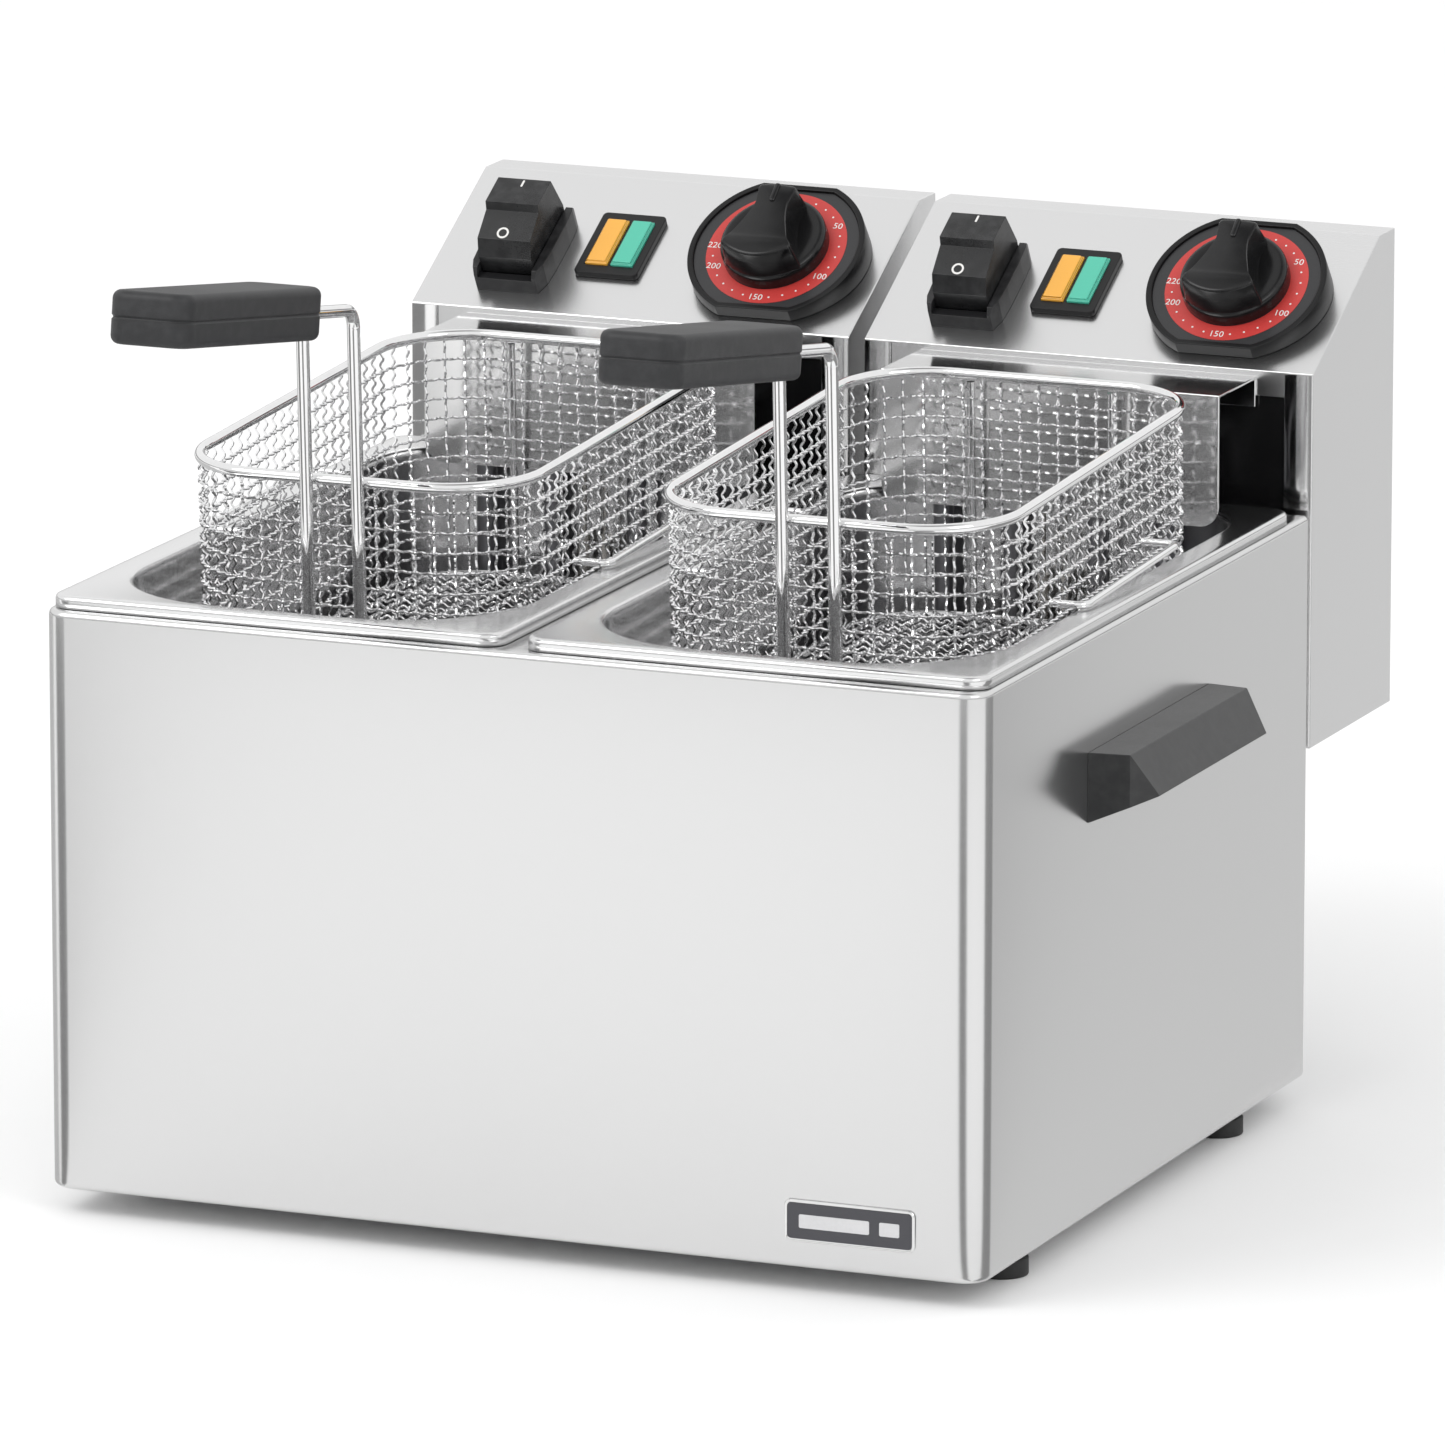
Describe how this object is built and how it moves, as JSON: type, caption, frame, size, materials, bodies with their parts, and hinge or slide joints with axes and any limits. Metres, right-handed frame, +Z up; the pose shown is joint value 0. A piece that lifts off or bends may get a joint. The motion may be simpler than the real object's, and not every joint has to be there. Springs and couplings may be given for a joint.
{
  "type": "deep fryer",
  "caption": "Countertop deep fryer: a low steel casing with two lift-out pans, wire baskets with grips, and lift-off control heads with dial, rocker and lamps.",
  "frame": {"origin": "under the middle of the whole object, at the underside of the feet", "axes": "+Z up, fronts and basket grips towards -Y, control heads at +Y, +X to the right seen from the front"},
  "size_m": [0.432, 0.5578, 0.3807],
  "materials": {
    "steel_satin": "satin, light grain",
    "steel_galvanised": "dull galvanised",
    "steel_pan": "smooth drawn sheet",
    "steel_polished": "polished",
    "wire_chrome": "bright plated wire",
    "plastic_black": "fine moulded texture",
    "plastic_gloss_black": "glossy",
    "steel_black": "black",
    "heater_sheath": "heat-darkened",
    "thermostat_metal": "plain",
    "bakelite": "moulded",
    "copper": "dull copper",
    "terminal_cream": "moulded",
    "lens_amber": "clear coloured",
    "lens_green": "clear coloured",
    "rubber_black": "moulded",
    "zinc": "zinc plated",
    "button_red": "moulded",
    "badge_black": "glossy with a silver border"
  },
  "bodies": {
    "casing": {"casing_shell": "steel_satin", "casing_back": "steel_satin", "casing_base": "steel_galvanised", "centre_rail": "steel_satin", "feet": "rubber_black", "foot_screws": "zinc", "carry_handle_left": "plastic_black", "carry_handle_right": "plastic_black", "carry_handle_screws": "zinc", "badge_plate": "badge_black"},
    "pan_left": {"pan_left": "steel_pan"},
    "head_left": {"head_cover_left": "steel_satin", "head_back_left": "steel_satin", "head_bracket_left": "steel_polished", "heater_left": "heater_sheath", "heater_plate_left": "steel_black", "thermostat_left": "thermostat_metal", "limiter_left": "bakelite", "sensor_bulbs_left": "copper", "terminal_block_left": "terminal_cream", "lamp_bezel_left": "plastic_black", "lamp_amber_left": "lens_amber", "lamp_green_left": "lens_green", "dial_plate_left": "plastic_gloss_black", "rocker_bezel_left": "plastic_black", "cable_gland_left": "plastic_black"},
    "basket_left": {"basket_mesh_left": "wire_chrome", "basket_rim_left": "wire_chrome", "basket_handle_rods_left": "wire_chrome", "basket_ribs_left": "wire_chrome", "basket_grip_upper_left": "plastic_black", "basket_grip_lower_left": "plastic_black"},
    "knob_left": {"knob_left": "plastic_gloss_black"},
    "rocker_left": {"rocker_left": "plastic_gloss_black"},
    "reset_button_left": {"reset_button_left": "button_red"},
    "pan_right": {"pan_right": "steel_pan"},
    "head_right": {"head_cover_right": "steel_satin", "head_back_right": "steel_satin", "head_bracket_right": "steel_polished", "heater_right": "heater_sheath", "heater_plate_right": "steel_black", "thermostat_right": "thermostat_metal", "limiter_right": "bakelite", "sensor_bulbs_right": "copper", "terminal_block_right": "terminal_cream", "lamp_bezel_right": "plastic_black", "lamp_amber_right": "lens_amber", "lamp_green_right": "lens_green", "dial_plate_right": "plastic_gloss_black", "rocker_bezel_right": "plastic_black", "cable_gland_right": "plastic_black"},
    "basket_right": {"basket_mesh_right": "wire_chrome", "basket_rim_right": "wire_chrome", "basket_handle_rods_right": "wire_chrome", "basket_ribs_right": "wire_chrome", "basket_grip_upper_right": "plastic_black", "basket_grip_lower_right": "plastic_black"},
    "knob_right": {"knob_right": "plastic_gloss_black"},
    "rocker_right": {"rocker_right": "plastic_gloss_black"},
    "reset_button_right": {"reset_button_right": "button_red"}
  },
  "joints": [
    {"name": "pan_lift_left", "type": "slide", "parent": "casing", "child": "pan_left", "axis": [0, 0, 1], "range_m": [0, 0.16]},
    {"name": "head_lift_left", "type": "slide", "parent": "pan_left", "child": "head_left", "axis": [0, 0, 1], "range_m": [0, 0.16]},
    {"name": "basket_lift_left", "type": "slide", "parent": "head_left", "child": "basket_left", "axis": [0, 0, 1], "range_m": [0, 0.12]},
    {"name": "knob_turn_left", "type": "hinge", "parent": "head_left", "child": "knob_left", "pos_m": [-0.0455, 0.2022, 0.31504], "axis": [0, 0.6208, -0.784], "range_deg": [0, 270]},
    {"name": "rocker_press_left", "type": "hinge", "parent": "head_left", "child": "rocker_left", "pos_m": [-0.1525, 0.20155, 0.30827], "axis": [-1, 0, 0], "range_deg": [0, 14]},
    {"name": "reset_press_left", "type": "slide", "parent": "head_left", "child": "reset_button_left", "axis": [0, -1, 0], "range_m": [0, 0.003], "stiffness_N_per_m": 400},
    {"name": "pan_lift_right", "type": "slide", "parent": "casing", "child": "pan_right", "axis": [0, 0, 1], "range_m": [0, 0.16]},
    {"name": "head_lift_right", "type": "slide", "parent": "pan_right", "child": "head_right", "axis": [0, 0, 1], "range_m": [0, 0.16]},
    {"name": "basket_lift_right", "type": "slide", "parent": "head_right", "child": "basket_right", "axis": [0, 0, 1], "range_m": [0, 0.12]},
    {"name": "knob_turn_right", "type": "hinge", "parent": "head_right", "child": "knob_right", "pos_m": [0.1475, 0.2022, 0.31504], "axis": [0, 0.6208, -0.784], "range_deg": [0, 270]},
    {"name": "rocker_press_right", "type": "hinge", "parent": "head_right", "child": "rocker_right", "pos_m": [0.0405, 0.20155, 0.30827], "axis": [-1, 0, 0], "range_deg": [0, 14]},
    {"name": "reset_press_right", "type": "slide", "parent": "head_right", "child": "reset_button_right", "axis": [0, -1, 0], "range_m": [0, 0.003], "stiffness_N_per_m": 400}
  ]
}
